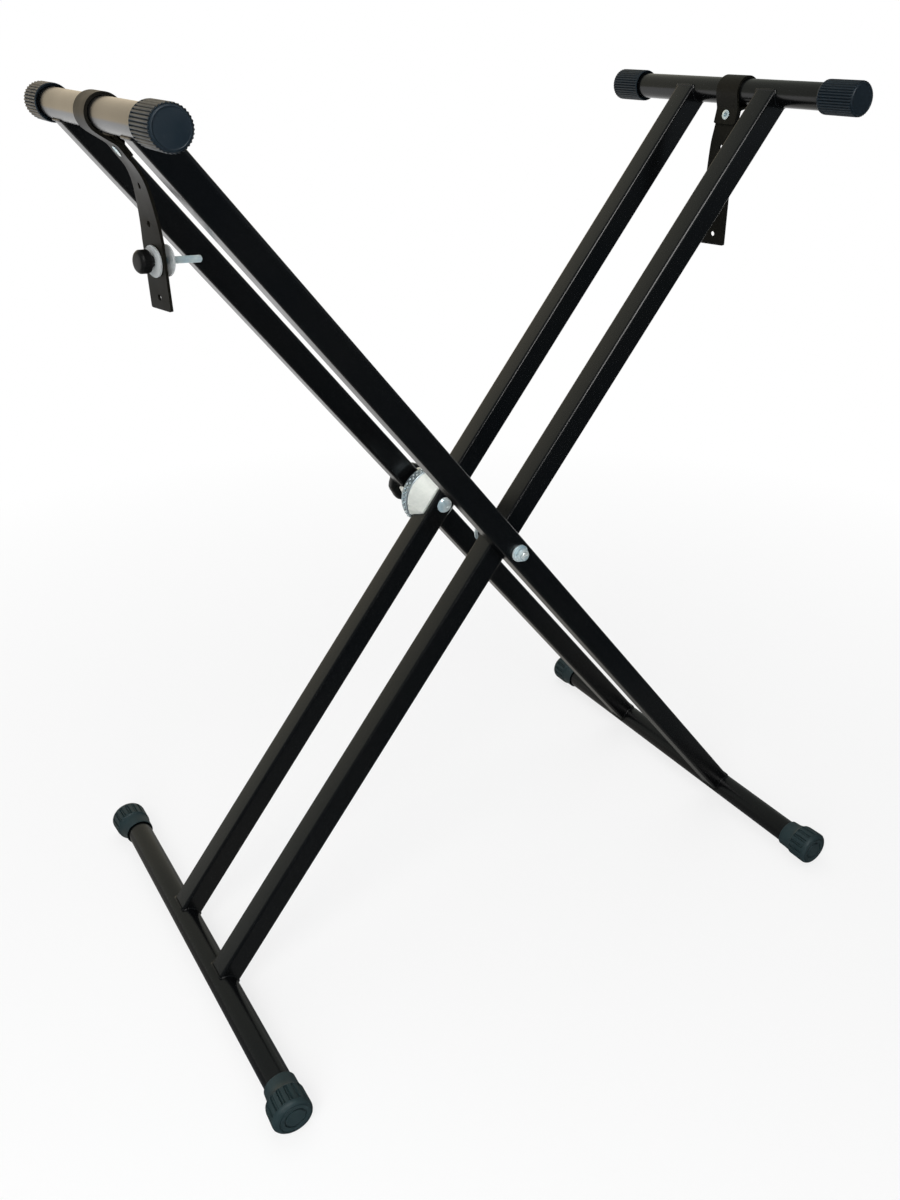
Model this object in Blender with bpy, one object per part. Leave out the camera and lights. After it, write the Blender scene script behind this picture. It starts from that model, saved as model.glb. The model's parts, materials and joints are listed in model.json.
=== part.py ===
"""Double-braced folding keyboard stand: two welded X frames on one pivot line, at real size in metres."""
import bpy
import bmesh
from math import cos, pi, radians, sin
from mathutils import Matrix, Vector

# The two X frames
LEAN = radians(38.63)          # each frame's legs, from upright
LEG_UP = 0.522                 # pivot to top bar axis
LEG_DOWN = 0.550               # pivot to base bar axis
TUBE = 0.0254                  # square leg tube, across flats
TUBE_WALL = 0.0015
TUBE_CORNER = 0.0030           # outside corner radius
LEG_TOP_TRIM = 0.006           # leg ends short of the top bar axis
LEG_BASE_TRIM = 0.010
OUTER_FRONT_Y = -0.1045        # near face of the outer frame's front leg
FRONT_GAP = 0.0033             # between the two front legs
INNER_REAR_Y = 0.0408
CLUTCH_GAP = 0.0225            # between the two rear legs, filled by the clutch
GAP = 0.0003                   # clearance between touching pieces

# Round bars
TOP_RADIUS = 0.0125
TOP_HALF = 0.169
BASE_RADIUS = 0.0140
BASE_HALF = 0.250
BAR_WALL = 0.0015

# End caps on the top bars
CAP_LENGTH = 0.042
CAP_RADIUS = 0.0155
CAP_END = 0.0035               # thickness of the closed end
CAP_RIBS = 36
RIB_DEPTH = 0.0007
CAP_RIM = 0.0140               # radius of the flat end disc
CAP_MOUTH = 0.0018             # how far the mouth flares from the bar

# Feet on the base bars
FOOT_LENGTH = 0.041
FOOT_COLLAR = 0.0160
FOOT_RADIUS = 0.0203
FOOT_OFFSET = 0.0030           # the big end sits further out than the bar
FOOT_END = 0.0075
FOOT_FACE = 0.0168
FOOT_PANELS = 12
PANEL_DEPTH = 0.0008
RING_OUTER = 0.0122            # groove round the end disc
RING_INNER = 0.0106
RING_DEPTH = 0.0010

# Pivot bolts, M8
BOLT_RADIUS = 0.0040
BOLT_HOLE = 0.0043
HEAD_RADIUS = 0.0090
HEAD_HEIGHT = 0.0042
FRONT_BOLT_END = 0.0105        # front bolt past the front leg
WASHER_RADIUS = 0.0090
WASHER_THICK = 0.0016
NUT_ACROSS = 0.0130
NUT_THICK = 0.0068
SPACER_RADIUS = 0.0110
BUSHING_RADIUS = 0.0090
BUSHING_LENGTH = 0.0084
WIDE_WASHER_RADIUS = 0.0125

# Toothed clutch between the rear legs: two pressed cups, each with two ears that hug its leg
CUP_RADIUS = 0.0330
CUP_DEPTH = 0.0062             # from the teeth to the outside of the floor
CUP_FLOOR = 0.0020
CUP_EDGE = 0.0008              # rounding where the floor meets the wall
TOOTH_RING = 0.0060            # width of the toothed ring
CLUTCH_TEETH = 36
TOOTH_DEPTH = 0.0012
EAR_REACH = 0.0257             # from the teeth to an ear's free edge
EAR_THICK = 0.0022
EAR_TIP = 0.0200               # half length of an ear's free edge
EAR_SPREAD = radians(65)       # half the angle that an ear takes of the cup's rim
SPRING_RADIUS = 0.0072
SPRING_WIRE = 0.0008
SPRING_TURNS = 3

# Locking knob
KNOB_RADIUS = 0.0230
KNOB_HEIGHT = 0.0200
KNOB_LOBES = 8
LOBE_DEPTH = 0.0014
KNOB_WASHER = 0.0110
INSERT_RADIUS = 0.0065
INSERT_LENGTH = 0.0140
BOLT_IN_KNOB = 0.0105

# Rubber straps, each a loop round its bar and a hanging tail
STRAP_WIDTH = 0.030
STRAP_THICK = 0.0025
STRAP_HOLE = 0.0026
PUNCH_REACH = 0.0060           # each way from the middle of the strap
END_SNIP = 0.0015              # off each corner of both ends
FOLD_EASE = 0.0030             # length over which the strap turns off the bar
HOLE_FIRST = 0.053             # below the bar axis
HOLE_PITCH = 0.029
HOLE_COUNT = 4
STRAP_TWIST = radians(12.5)    # the tail's turn about its own length, full below TWIST_TO
TWIST_FROM = -0.040
TWIST_TO = -0.095
SCREW_HOLE = 2                 # the lock screw sits in the third hole
LEFT_STRAP_Y = -0.006
RIGHT_STRAP_Y = -0.012
EYELET_RADIUS = 0.0048
EYELET_BORE = 0.0022
EYELET_BARREL = 0.0030
EYELET_THICK = 0.0008

# Lock screw in the left strap, M6
SCREW_RADIUS = 0.0030
SCREW_TIP = 0.0420             # from the middle of the strap
SCREW_DROOP = radians(5)       # the screw hangs a little in its hole
COLLAR_RADIUS = 0.0050
COLLAR_LENGTH = 0.0035
SCREW_HEAD_RADIUS = 0.0095
SCREW_HEAD_LENGTH = 0.0096
PAD_RADIUS = 0.0128
PAD_THICK = 0.0016
LOOSE_PAD = 0.0088             # where the second washer sits on the shank

PIVOT_Z = LEG_DOWN * cos(LEAN) + FOOT_RADIUS
INNER_FRONT_Y = OUTER_FRONT_Y + TUBE + FRONT_GAP
OUTER_REAR_Y = INNER_REAR_Y + TUBE + CLUTCH_GAP
MESH_Y = INNER_REAR_Y + TUBE + GAP + CUP_DEPTH


def clear_scene():
    for obj in list(bpy.data.objects):
        bpy.data.objects.remove(obj)


def material(name, colour, roughness, metallic=0.0):
    found = bpy.data.materials.get(name)
    if found:
        return found
    made = bpy.data.materials.new(name)
    made.use_nodes = True
    shader = made.node_tree.nodes["Principled BSDF"]
    shader.inputs["Base Color"].default_value = (*colour, 1.0)
    shader.inputs["Roughness"].default_value = roughness
    shader.inputs["Metallic"].default_value = metallic
    return made


def black_paint():
    return material("black_paint", (0.018, 0.018, 0.018), 0.38)


def ribbed_rubber():
    return material("ribbed_rubber", (0.020, 0.026, 0.032), 0.75)


def foot_rubber():
    return material("foot_rubber", (0.035, 0.043, 0.046), 0.8)


def strap_rubber():
    return material("strap_rubber", (0.035, 0.034, 0.030), 0.65)


def zinc():
    return material("zinc", (0.62, 0.64, 0.66), 0.28, 1.0)


def plate_steel():
    return material("plate_steel", (0.66, 0.67, 0.65), 0.38, 1.0)


def knob_plastic():
    return material("knob_plastic", (0.012, 0.012, 0.012), 0.5)


def nylon():
    return material("nylon", (0.78, 0.80, 0.82), 0.45)


def frame_empty(name, turn):
    """An empty on the pivot line; its own Z runs up the frame's legs."""
    empty = bpy.data.objects.new(name, None)
    bpy.context.collection.objects.link(empty)
    empty.location = (0, 0, PIVOT_Z)
    empty.rotation_euler = (0, turn, 0)
    return empty


def add_object(name, bm, finish, parent=None, location=(0, 0, 0), smooth=30):
    """Link a mesh as one named sub-part."""
    bmesh.ops.recalc_face_normals(bm, faces=bm.faces)
    mesh = bpy.data.meshes.new(name)
    bm.to_mesh(mesh)
    bm.free()
    mesh.shade_smooth()
    mesh.set_sharp_from_angle(angle=radians(smooth))
    obj = bpy.data.objects.new(name, mesh)
    bpy.context.collection.objects.link(obj)
    mesh.materials.append(finish)
    obj.parent = parent
    obj.location = location
    return obj


def skin(rings, closed=False):
    """A mesh through rings of points; a ring of one point is a pole, closed joins last to first."""
    bm = bmesh.new()
    made = [[bm.verts.new(point) for point in ring] for ring in rings]
    pairs = list(zip(made, made[1:]))
    if closed:
        pairs.append((made[-1], made[0]))
    for low, high in pairs:
        count = max(len(low), len(high))
        for k in range(count):
            corners = [low[k % len(low)], low[(k + 1) % len(low)],
                       high[(k + 1) % len(high)], high[k % len(high)]]
            unique = list(dict.fromkeys(corners))
            bm.faces.new(unique)
    if not closed:
        for ring in (made[0], made[-1]):
            if len(ring) > 2:
                bm.faces.new(ring)
    return bm


def ring(radius, y, count, shape=None, offset=0.0):
    """Points round the Y axis; shape changes the radius by point number."""
    if radius == 0:
        return [Vector((offset, y, 0))]
    points = []
    for k in range(count):
        angle = 2 * pi * k / count
        r = radius + (shape(k) if shape else 0.0)
        points.append(Vector((offset + r * cos(angle), y, r * sin(angle))))
    return points


def turned(profile, count=32, closed=True):
    """A body turned about Y from (radius, y) points."""
    return skin([ring(radius, y, count) for radius, y in profile], closed)


def cutter(bm, name, parent=None, location=(0, 0, 0)):
    """A cutting solid, left out of the part."""
    obj = add_object(name, bm, black_paint(), parent, location)
    obj.hide_render = True
    obj.display_type = "WIRE"
    return obj


def cut(obj, tool, operation="DIFFERENCE"):
    modifier = obj.modifiers.new(tool.name, "BOOLEAN")
    modifier.operation = operation
    modifier.object = tool
    modifier.solver = "EXACT"


def square_ring(half, corner, z):
    """A rounded square in XY at height z."""
    points = []
    for quarter in range(4):
        for step in range(4):
            angle = quarter * pi / 2 + step * pi / 6
            centre = half - corner
            cx = centre if quarter in (0, 3) else -centre
            cy = centre if quarter in (0, 1) else -centre
            points.append(Vector((cx + corner * cos(angle), cy + corner * sin(angle), z)))
    return points


def rod(radius, low, high, count=48):
    return turned([(radius, low), (radius, high)], count, closed=False)


def leg(name, parent, near_y, top_cut, base_cut):
    """One square tube, mitred to both bars and drilled for the pivot bolt."""
    half = TUBE / 2
    inner = half - TUBE_WALL
    low = -LEG_DOWN + LEG_BASE_TRIM
    high = LEG_UP - LEG_TOP_TRIM
    rings = [square_ring(half, TUBE_CORNER, low), square_ring(half, TUBE_CORNER, high),
             square_ring(inner, TUBE_CORNER - TUBE_WALL, high),
             square_ring(inner, TUBE_CORNER - TUBE_WALL, low)]
    obj = add_object(name, skin(rings, closed=True), black_paint(), parent, (0, near_y + half, 0))
    drill = cutter(rod(BOLT_HOLE, -TUBE, TUBE, 24), name + "_drill", parent, (0, near_y + half, 0))
    for tool in (top_cut, base_cut, drill):
        cut(obj, tool)
    return obj


def bar(name, parent, radius, half, z):
    inner = radius - BAR_WALL
    profile = [(radius, -half), (radius, half), (inner, half), (inner, -half)]
    return add_object(name, turned(profile, 40), black_paint(), parent, (0, 0, z))


def top_cap(name, parent, end):
    """Ribbed rubber cap; end is -1 near, +1 far. Built with its mouth at y = 0, then placed."""
    count = 2 * CAP_RIBS
    rib = lambda k: -RIB_DEPTH if k % 2 else 0.0
    bore = TOP_RADIUS + GAP
    depth = CAP_LENGTH - CAP_END
    edge = CAP_RADIUS - CAP_RIM
    rings = [ring(bore, 0.0030, count), ring(bore + CAP_MOUTH, 0, count),
             ring(CAP_RADIUS - RIB_DEPTH, 0, count),
             ring(CAP_RADIUS, 0.0012, count, rib), ring(CAP_RADIUS, CAP_LENGTH - edge, count, rib),
             ring(CAP_RIM, CAP_LENGTH, count), ring(0, CAP_LENGTH, count)]
    closed_end = [ring(0, depth, count), ring(bore, depth, count)]
    bm = skin(closed_end + rings)
    flip_to_end(bm, end)
    place = end * (TOP_HALF + CAP_END + GAP - CAP_LENGTH)
    return add_object(name, bm, ribbed_rubber(), parent, (0, place, LEG_UP), smooth=25)


def flip_to_end(bm, end):
    if end < 0:
        bmesh.ops.transform(bm, matrix=Matrix.Scale(-1, 4, (0, 1, 0)), verts=bm.verts)


def foot(name, parent, end, outward):
    """Rubber foot: round collar, then a bigger panelled end set outward; mouth at y = 0."""
    count = 3 * FOOT_PANELS
    panel = lambda k: 0.0 if k % 3 == 0 else -PANEL_DEPTH
    bore = BASE_RADIUS + GAP
    depth = FOOT_LENGTH - FOOT_END
    shift = outward * FOOT_OFFSET
    rings = [ring(0, depth, count), ring(bore, depth, count), ring(bore, 0.0020, count),
             ring(bore + 0.0009, 0, count), ring(FOOT_COLLAR, 0, count),
             ring(FOOT_COLLAR + 0.0006, 0.0090, count, None, shift * 0.15),
             ring(FOOT_RADIUS - 0.0012, 0.0185, count, None, shift * 0.8),
             ring(FOOT_RADIUS - 0.0008, 0.0195, count, panel, shift * 0.85),
             ring(FOOT_RADIUS, 0.0350, count, panel, shift),
             ring(FOOT_RADIUS, 0.0356, count, None, shift),
             ring(FOOT_RADIUS - 0.0006, 0.0382, count, None, shift),
             ring(FOOT_FACE, FOOT_LENGTH, count, None, shift * 0.5),
             ring(RING_OUTER, FOOT_LENGTH, count), ring(RING_OUTER, FOOT_LENGTH - RING_DEPTH, count),
             ring(RING_INNER, FOOT_LENGTH - RING_DEPTH, count), ring(RING_INNER, FOOT_LENGTH, count),
             ring(0, FOOT_LENGTH, count)]
    bm = skin(rings)
    flip_to_end(bm, end)
    turn = Matrix.Rotation(outward * LEAN, 4, (0, 1, 0))
    bmesh.ops.transform(bm, matrix=turn, verts=bm.verts)
    place = end * (BASE_HALF + FOOT_END + GAP - FOOT_LENGTH)
    return add_object(name, bm, foot_rubber(), parent, (0, place, -LEG_DOWN), smooth=25)


def x_frame(prefix, parent, front_y, rear_y, outward):
    """Two legs, two bars, two caps and two feet."""
    top_cut = cutter(rod(TOP_RADIUS + GAP, -TOP_HALF, TOP_HALF), prefix + "_top_cut", parent, (0, 0, LEG_UP))
    base_cut = cutter(rod(BASE_RADIUS + GAP, -BASE_HALF, BASE_HALF), prefix + "_base_cut", parent,
                      (0, 0, -LEG_DOWN))
    leg(prefix + "_leg_front", parent, front_y, top_cut, base_cut)
    leg(prefix + "_leg_rear", parent, rear_y, top_cut, base_cut)
    bar(prefix + "_top_bar", parent, TOP_RADIUS, TOP_HALF, LEG_UP)
    bar(prefix + "_base_bar", parent, BASE_RADIUS, BASE_HALF, -LEG_DOWN)
    for side, end in (("front", -1), ("rear", 1)):
        top_cap(f"{prefix}_cap_{side}", parent, end)
        foot(f"{prefix}_foot_{side}", parent, end, outward)


def carriage_bolt(name, parent, face_y, tip_y):
    """Domed head against face_y, shank to tip_y."""
    way = 1 if tip_y > face_y else -1
    base = face_y - way * GAP
    dome = [(HEAD_RADIUS * cos(a), base - way * HEAD_HEIGHT * sin(a)) for a in (pi / 2.6, pi / 4, pi / 8)]
    profile = [(0, base - way * HEAD_HEIGHT)] + dome
    profile += [(HEAD_RADIUS, base), (BOLT_RADIUS, base)]
    profile += [(BOLT_RADIUS, tip_y - way * 0.0008), (BOLT_RADIUS - 0.0008, tip_y), (0, tip_y)]
    return add_object(name, turned(profile, 24, closed=False), zinc(), parent)


def washer(name, parent, low_y, thick, radius, bore, finish, location=(0, 0, 0)):
    profile = [(bore, low_y), (radius, low_y), (radius, low_y + thick), (bore, low_y + thick)]
    return add_object(name, turned(profile, 32), finish, parent, location)


def nut(name, parent, low_y):
    """Lock nut: hexagon with a round collar on its outer side."""
    corner = NUT_ACROSS / 2 / cos(pi / 6)
    flat = NUT_ACROSS / 2
    count = 24
    hexagon = lambda k: flat / cos((2 * pi * k / count + pi / 6) % (pi / 3) - pi / 6) - corner
    collar_y = low_y - NUT_THICK
    rings = [ring(BOLT_HOLE, low_y, count), ring(corner, low_y, count, hexagon),
             ring(corner, low_y - NUT_THICK * 0.68, count, hexagon),
             ring(flat - 0.0004, low_y - NUT_THICK * 0.72, count),
             ring(flat - 0.0010, collar_y, count), ring(BOLT_HOLE, collar_y, count)]
    return add_object(name, skin(rings, closed=True), zinc(), parent)


def clutch_plate(name, parent, mesh_y, way):
    """Pressed cup with a toothed mouth at mesh_y, a floor toward way and two ears beyond it."""
    count = 2 * CLUTCH_TEETH
    tip = GAP / 2
    root = tip + TOOTH_DEPTH
    inner = CUP_RADIUS - TOOTH_RING
    profile = [(BOLT_HOLE, CUP_DEPTH), (CUP_RADIUS - CUP_EDGE, CUP_DEPTH), (CUP_RADIUS, CUP_DEPTH - CUP_EDGE)]
    rings = [ring(radius, mesh_y + way * depth, count) for radius, depth in profile]
    for radius in (CUP_RADIUS, inner):
        rings.append([Vector((p.x, mesh_y + way * (tip if k % 2 else root), p.z))
                      for k, p in enumerate(ring(radius, 0, count))])
    inside = mesh_y + way * (CUP_DEPTH - CUP_FLOOR)
    rings += [ring(inner - CUP_EDGE, inside, count), ring(BOLT_HOLE, inside, count)]
    obj = add_object(name, skin(rings, closed=True), plate_steel(), parent, smooth=24)
    for side in (-1, 1):
        ear = cutter(ear_mesh(side, mesh_y, way), f"{name}_ear_{side}", parent)
        cut(obj, ear, "UNION")
    return obj


def ear_mesh(side, mesh_y, way):
    """Sheet from an arc of the cup's rim to a straight edge beside the leg; its corners are cones."""
    steps = 10
    near = TUBE / 2 + GAP
    start = CUP_DEPTH - 1.5 * CUP_EDGE
    back = CUP_DEPTH - CUP_FLOOR + GAP
    sections = []
    for k in range(steps + 1):
        share = 2 * k / steps - 1
        angle = EAR_SPREAD * share
        along_leg = EAR_TIP * max(-1.0, min(1.0, share * 1.25))
        outer = CUP_RADIUS - CUP_EDGE / 2
        inner = near / cos(EAR_SPREAD)
        sections.append([(outer * cos(angle), start, outer * sin(angle)),
                         (near + EAR_THICK, EAR_REACH, along_leg), (near, EAR_REACH, along_leg),
                         (inner * cos(angle), back, inner * sin(angle))])
    rings = [[Vector((side * x, mesh_y + way * depth, z)) for x, depth, z in section] for section in sections]
    return skin(rings)


def tube_along(points, radius, sides=6):
    """A closed tube through a list of points, its section kept square to the path."""
    rings = []
    for k, point in enumerate(points):
        ahead = points[min(k + 1, len(points) - 1)] - points[max(k - 1, 0)]
        across = ahead.cross(Vector((0, 1, 0))).normalized()
        other = ahead.cross(across).normalized()
        rings.append([point + radius * (across * cos(2 * pi * s / sides) + other * sin(2 * pi * s / sides))
                      for s in range(sides)])
    return skin(rings)


def clutch_spring(name, parent):
    """Compression spring round the bolt, between the floors of the two cups."""
    reach = CUP_DEPTH - CUP_FLOOR - GAP - SPRING_WIRE
    low = MESH_Y - reach
    high = MESH_Y + reach
    steps = 12 * SPRING_TURNS
    points = []
    for k in range(steps + 1):
        angle = 2 * pi * k / 12
        points.append(Vector((SPRING_RADIUS * cos(angle), low + (high - low) * k / steps,
                              SPRING_RADIUS * sin(angle))))
    least = (high - low) / SPRING_TURNS - 2 * SPRING_WIRE
    print(f"clutch spring: {SPRING_TURNS} turns, least gap between turns {least * 1000:.2f} mm")
    return add_object(name, tube_along(points, SPRING_WIRE), zinc(), parent)


def locking_knob(name, parent, low_y):
    """Domed knob with shallow lobes and a blind bore for its insert."""
    count = 4 * KNOB_LOBES
    lobe = lambda k: -LOBE_DEPTH * (0.5 - 0.5 * cos(2 * pi * k / 4))
    bore = INSERT_RADIUS + GAP
    top = low_y + KNOB_HEIGHT
    rings = [ring(0, low_y + INSERT_LENGTH + GAP, count), ring(bore, low_y + INSERT_LENGTH + GAP, count),
             ring(bore, low_y, count), ring(KNOB_RADIUS * 0.7, low_y, count),
             ring(KNOB_RADIUS - 0.002, low_y + 0.002, count, lobe),
             ring(KNOB_RADIUS, low_y + 0.005, count, lobe), ring(KNOB_RADIUS, low_y + 0.011, count, lobe),
             ring(KNOB_RADIUS * 0.9, low_y + 0.0150, count, lobe),
             ring(KNOB_RADIUS * 0.68, low_y + 0.0180, count), ring(KNOB_RADIUS * 0.35, top - 0.0005, count),
             ring(0, top, count)]
    return add_object(name, skin(rings), knob_plastic(), parent, smooth=35)


def soften(points, rounds=2):
    """Cut the corners of a path; it still runs through the middle of every step."""
    for _ in range(rounds):
        shorter = [points[0]]
        for a, b in zip(points, points[1:]):
            shorter += [a.lerp(b, 0.25), a.lerp(b, 0.75)]
        points = shorter + [points[-1]]
    return points


def strap_turn(height):
    """How far the strap has turned about its own length at a height below the bar axis."""
    share = (TWIST_FROM - height) / (TWIST_FROM - TWIST_TO)
    return -STRAP_TWIST * min(1.0, max(0.0, share))


def ribbon(points, hanging_from):
    """A flat strap along points in the XZ plane, with snipped ends."""
    rings = []
    for k, point in enumerate(points):
        ahead = (points[min(k + 1, len(points) - 1)] - points[max(k - 1, 0)]).normalized()
        turn = strap_turn(point.z) if k > hanging_from else 0.0
        across = Matrix.Rotation(turn, 3, ahead) @ Vector((0, 1, 0))
        normal = ahead.cross(across)
        half = STRAP_WIDTH / 2
        if k == 0 or k == len(points) - 1:
            half -= END_SNIP
        corners = [(-half, -1), (half, -1), (half, 1), (-half, 1)]
        rings.append([point + across * a + normal * (b * STRAP_THICK / 2) for a, b in corners])
    return skin(rings)


def beside(points, distance):
    """Points moved sideways toward +X, the same distance from every step between them."""
    ways = [(b - a).normalized() for a, b in zip(points, points[1:])]
    moved = []
    for k, point in enumerate(points):
        before = ways[max(k - 1, 0)]
        after = ways[min(k, len(ways) - 1)]
        way = (before + after).normalized()
        reach = distance / way.dot(before)
        moved.append(point + Vector((-way.z, 0, way.x)) * reach)
    return moved


def strap(name, eyelet_name, parent, y, inward, layout):
    """Loop over the bar with an eyelet through both layers, and a tail with holes.

    A layout is written for a bar at the origin with the stand's middle toward +X. The short end
    lies on the joined steps of the hanging part, between them and the stand's middle.
    """
    layer = STRAP_THICK + GAP
    joined = layout["joined"]
    flap = beside(joined, layer)[::-1]
    wrap = (TOP_RADIUS + GAP + STRAP_THICK / 2) / cos(radians(10))
    start, end = layout["on_bar"]
    steps = round((end - start) / 20)
    arc = [start + (end - start) * k / steps for k in range(steps + 1)]
    arc = [Vector((wrap * cos(radians(a)), 0, wrap * sin(radians(a)))) for a in arc]
    fold = flap[-1].lerp(arc[0], FOLD_EASE / (arc[0] - flap[-1]).length)
    corner = joined[0].lerp(arc[-1], FOLD_EASE / (arc[-1] - joined[0]).length)
    path = soften(flap + [fold] + arc + [corner] + joined + layout["tail"])
    path = [Vector((inward * p.x, 0, p.z)) for p in path]
    centre = (0, y, 0)
    obj = add_object(name, ribbon(path, len(path) // 2), strap_rubber(), parent, centre, smooth=50)
    way = (joined[-1] - joined[-2]).normalized()
    side = Vector((-way.z, 0, way.x))
    bore = frame_at(joined[-2] + way * layout["eye"] * TOP_RADIUS + side * layer / 2, side, inward)
    drill = cutter(rod(EYELET_BARREL + GAP, -PUNCH_REACH, PUNCH_REACH, 16), name + "_eye_drill", parent)
    place(drill, bore, centre)
    cut(obj, drill)
    reach = STRAP_THICK + GAP * 1.5
    eyelet = [(EYELET_BORE, -reach - EYELET_THICK), (EYELET_RADIUS, -reach - EYELET_THICK * 0.4),
              (EYELET_RADIUS, -reach), (EYELET_BARREL, -reach), (EYELET_BARREL, reach),
              (EYELET_RADIUS, reach), (EYELET_RADIUS, reach + EYELET_THICK * 0.4),
              (EYELET_BORE, reach + EYELET_THICK)]
    made = add_object(eyelet_name, turned(eyelet, 16), zinc(), parent)
    place(made, bore, centre)
    return obj


def frame_at(point, normal, inward):
    """A matrix whose Y runs along normal at point, mirrored like the strap."""
    return along(Vector((inward * point.x, 0, point.z)), Vector((inward * normal.x, 0, normal.z)))


def along(point, axis):
    """A matrix at point whose Y runs along axis."""
    return Matrix.Translation(point) @ Vector((0, 1, 0)).rotation_difference(axis).to_matrix().to_4x4()


def place(obj, matrix, shift):
    obj.matrix_basis = Matrix.Translation(shift) @ matrix


def main():
    clear_scene()
    outer = frame_empty("outer_frame", -LEAN)
    inner = frame_empty("inner_frame", LEAN)
    x_frame("outer", outer, OUTER_FRONT_Y, OUTER_REAR_Y, 1)
    x_frame("inner", inner, INNER_FRONT_Y, INNER_REAR_Y, -1)

    bushing_y = INNER_FRONT_Y + TUBE + GAP
    wide_y = bushing_y + BUSHING_LENGTH + GAP
    washer("front_bushing", inner, bushing_y, BUSHING_LENGTH, BUSHING_RADIUS, BOLT_HOLE, knob_plastic())
    washer("front_wide_washer", inner, wide_y, WASHER_THICK, WIDE_WASHER_RADIUS, BOLT_HOLE, zinc())
    carriage_bolt("front_pivot_bolt", inner, wide_y + WASHER_THICK, OUTER_FRONT_Y - FRONT_BOLT_END)
    washer("front_spacer", inner, OUTER_FRONT_Y + TUBE + GAP, FRONT_GAP - 2 * GAP, SPACER_RADIUS, BOLT_HOLE,
           nylon())
    washer_y = OUTER_FRONT_Y - GAP - WASHER_THICK
    washer("front_pivot_washer", inner, washer_y, WASHER_THICK, WASHER_RADIUS, BOLT_HOLE, zinc())
    nut("front_pivot_nut", inner, washer_y - GAP)

    knob_y = OUTER_REAR_Y + TUBE + GAP + WASHER_THICK + GAP
    carriage_bolt("rear_pivot_bolt", inner, INNER_REAR_Y, knob_y + BOLT_IN_KNOB)
    clutch_plate("clutch_plate_inner", inner, MESH_Y, -1)
    clutch_plate("clutch_plate_outer", outer, MESH_Y, 1)
    clutch_spring("clutch_spring", inner)
    washer("knob_washer", inner, OUTER_REAR_Y + TUBE + GAP, WASHER_THICK, KNOB_WASHER, BOLT_HOLE, zinc())
    washer("knob_insert", inner, knob_y, INSERT_LENGTH, INSERT_RADIUS, BOLT_HOLE, zinc())
    locking_knob("locking_knob", inner, knob_y)

    straps()


def straps():
    """The two straps hang straight down, so they have upright empties on their bar axes."""
    left_bar = Vector((-LEG_UP * sin(LEAN), 0, PIVOT_Z + LEG_UP * cos(LEAN)))
    right_bar = Vector((-left_bar.x, 0, left_bar.z))
    left = upright_empty("left_strap_axis", left_bar)
    right = upright_empty("right_strap_axis", right_bar)
    left_layout = {
        "on_bar": (-30, 236), "eye": 0.35,
        "joined": in_radii([(0.232, -1.512), (0.528, -1.712), (0.648, -1.832), (1.136, -2.552)]),
        "tail": in_radii([(1.344, -2.8), (1.69, -3.4), (1.96, -4.24), (2.2, -6.24), (2.268, -7.76),
                          (2.282, -10), (2.298, -11.12), (2.314, -12)])}
    right_layout = {
        "on_bar": (-12, 252), "eye": 0.26,
        "joined": in_radii([(0.648, -1.328), (0.688, -1.552), (0.88, -2.504)]),
        "tail": in_radii([(1.072, -3.36), (1.184, -4.24), (1.208, -6.48), (1.2, -8.88), (1.184, -11.2),
                          (1.176, -12.08)])}
    left_strap = strap("left_strap", "left_eyelet", left, LEFT_STRAP_Y, 1, left_layout)
    right_strap = strap("right_strap", "right_eyelet", right, RIGHT_STRAP_Y, -1, right_layout)
    punch(left_strap, left, LEFT_STRAP_Y, 1, left_layout["tail"])
    punch(right_strap, right, RIGHT_STRAP_Y, -1, right_layout["tail"])
    lock_screw(left, left_layout["tail"])


def in_radii(steps):
    """Points in the XZ plane from numbers that count in radii of the top bar."""
    return [Vector((x, 0, z)) * TOP_RADIUS for x, z in steps]


def tail_step(tail, depth):
    """Middle of the tail at a depth below the bar axis, and the way it runs there."""
    for a, b in zip(tail, tail[1:]):
        if b[2] <= -depth <= a[2]:
            low, high = Vector(b), Vector(a)
            return high.lerp(low, (high.z + depth) / (high.z - low.z)), (low - high).normalized()
    return Vector(tail[-1]), Vector((0, 0, -1))


def hole_frame(tail, depth, inward):
    """A matrix at the tail's middle whose Y is square to the turned strap, pointing inward."""
    point, ahead = tail_step(tail, depth)
    point.x *= inward
    ahead.x *= inward
    across = Matrix.Rotation(strap_turn(-depth), 3, ahead) @ Vector((0, 1, 0))
    normal = ahead.cross(across)
    if normal.x * inward < 0:
        normal = -normal
    return along(point, normal)


def punch(obj, parent, y, inward, tail):
    for k in range(HOLE_COUNT):
        radius = SCREW_RADIUS + 2 * GAP if inward > 0 and k == SCREW_HOLE else STRAP_HOLE
        tool = cutter(rod(radius, -PUNCH_REACH, PUNCH_REACH, 16), f"{obj.name}_punch_{k}", parent)
        place(tool, hole_frame(tail, HOLE_FIRST + k * HOLE_PITCH, inward), (0, y, 0))
        cut(obj, tool)


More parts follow.
